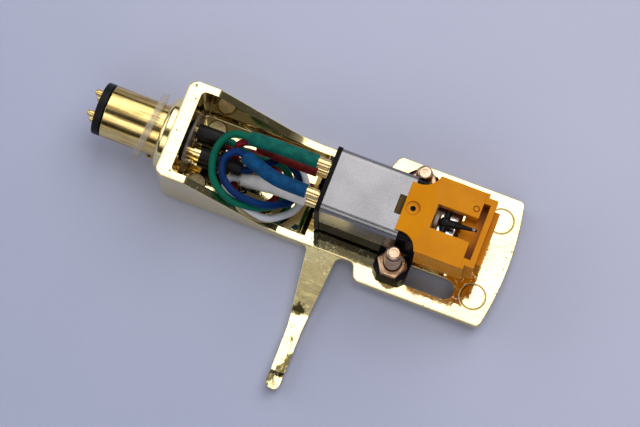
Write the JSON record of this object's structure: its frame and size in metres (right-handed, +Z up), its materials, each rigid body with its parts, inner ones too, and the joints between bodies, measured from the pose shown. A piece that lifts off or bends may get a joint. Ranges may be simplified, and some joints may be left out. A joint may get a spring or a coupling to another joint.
{
  "type": "turntable cartridge in headshell",
  "caption": "Moving magnet phono cartridge with pull-off stylus unit, screwed into a plug-in gold headshell with finger lift, coloured leads and bayonet plug.",
  "frame": {"origin": "on the plug's axis at its seat, where the tonearm's socket ends", "axes": "+X along the plug's axis towards the front of the shell, +Y away from the finger lift, +Z up, from the shell's top face towards the stylus"},
  "size_m": [0.0661, 0.0395, 0.0185],
  "materials": {
    "gold_casting": "gold plated, polished",
    "gold_collar": "gold plated, polished",
    "contact_gold": "gold plated",
    "clip_gold": "gold plated sheet",
    "plug_black": "moulded",
    "washer_rubber": "translucent off-white",
    "disc_clear": "thin translucent sheet",
    "body_black": "glossy moulding",
    "terminal_black": "moulded",
    "shield_silver": "satin",
    "core_iron": "soft iron sheet",
    "coil_copper": "enamelled copper wire",
    "screw_copper": "copper toned",
    "nut_copper": "copper toned",
    "holder_amber": "orange moulding",
    "tube_metal": "drawn",
    "bracket_bright": "bright sheet",
    "damper_rubber": "moulded",
    "cantilever_black": "fibre-filled moulding",
    "magnet_grey": "sintered",
    "tip_diamond": "ground",
    "sleeve_black": "shrunk tube",
    "wire_green": "insulated wire",
    "wire_red": "insulated wire",
    "wire_blue": "insulated wire",
    "wire_white": "insulated wire",
    "sleeve_green": "shrunk tube",
    "sleeve_red": "shrunk tube",
    "sleeve_blue": "shrunk tube",
    "sleeve_white": "shrunk tube"
  },
  "bodies": {
    "shell": {"cartridge_body": "body_black", "coils": "coil_copper", "contact_pin_blue": "contact_gold", "contact_pin_green": "contact_gold", "contact_pin_red": "contact_gold", "contact_pin_white": "contact_gold", "headshell": "gold_casting", "lead_blue": "wire_blue", "lead_clip_blue": "clip_gold", "lead_clip_green": "clip_gold", "lead_clip_red": "clip_gold", "lead_clip_white": "clip_gold", "lead_green": "wire_green", "lead_red": "wire_red", "lead_sleeve_blue": "sleeve_blue", "lead_sleeve_green": "sleeve_green", "lead_sleeve_red": "sleeve_red", "lead_sleeve_white": "sleeve_white", "lead_white": "wire_white", "locating_pin": "gold_collar", "mounting_nuts": "nut_copper", "mounting_screws": "screw_copper", "plug_clip_blue": "clip_gold", "plug_clip_green": "clip_gold", "plug_clip_red": "clip_gold", "plug_clip_white": "clip_gold", "plug_collar": "gold_collar", "plug_inner_disc": "disc_clear", "plug_insulator": "plug_black", "plug_sleeve_blue": "sleeve_black", "plug_sleeve_green": "sleeve_black", "plug_sleeve_red": "sleeve_black", "plug_sleeve_white": "sleeve_black", "pole_pieces": "core_iron", "seat_washer": "washer_rubber", "shield": "shield_silver", "terminal_blue": "contact_gold", "terminal_green": "contact_gold", "terminal_plate": "terminal_black", "terminal_red": "contact_gold", "terminal_white": "contact_gold"},
    "stylus_unit": {"stylus_holder": "holder_amber", "stylus_tube": "tube_metal", "stylus_bracket": "bracket_bright"},
    "suspension": {"stylus_damper": "damper_rubber"},
    "lever": {"cantilever": "cantilever_black", "stylus_magnet": "magnet_grey", "stylus_tip": "tip_diamond"}
  },
  "joints": [
    {"name": "stylus_pull", "type": "slide", "parent": "shell", "child": "stylus_unit", "axis": [1, 0, 0], "range_m": [0, 0.012]},
    {"name": "stylus_swing", "type": "hinge", "parent": "stylus_unit", "child": "suspension", "pos_m": [0.04235, 0, 0.00813], "axis": [0, 0, 1], "range_deg": [-3, 3], "stiffness_Nm_per_rad": 0.0054},
    {"name": "stylus_tilt", "type": "hinge", "parent": "suspension", "child": "lever", "pos_m": [0.04235, 0, 0.00813], "axis": [0, 1, 0], "range_deg": [-3, 5], "stiffness_Nm_per_rad": 0.0054}
  ]
}
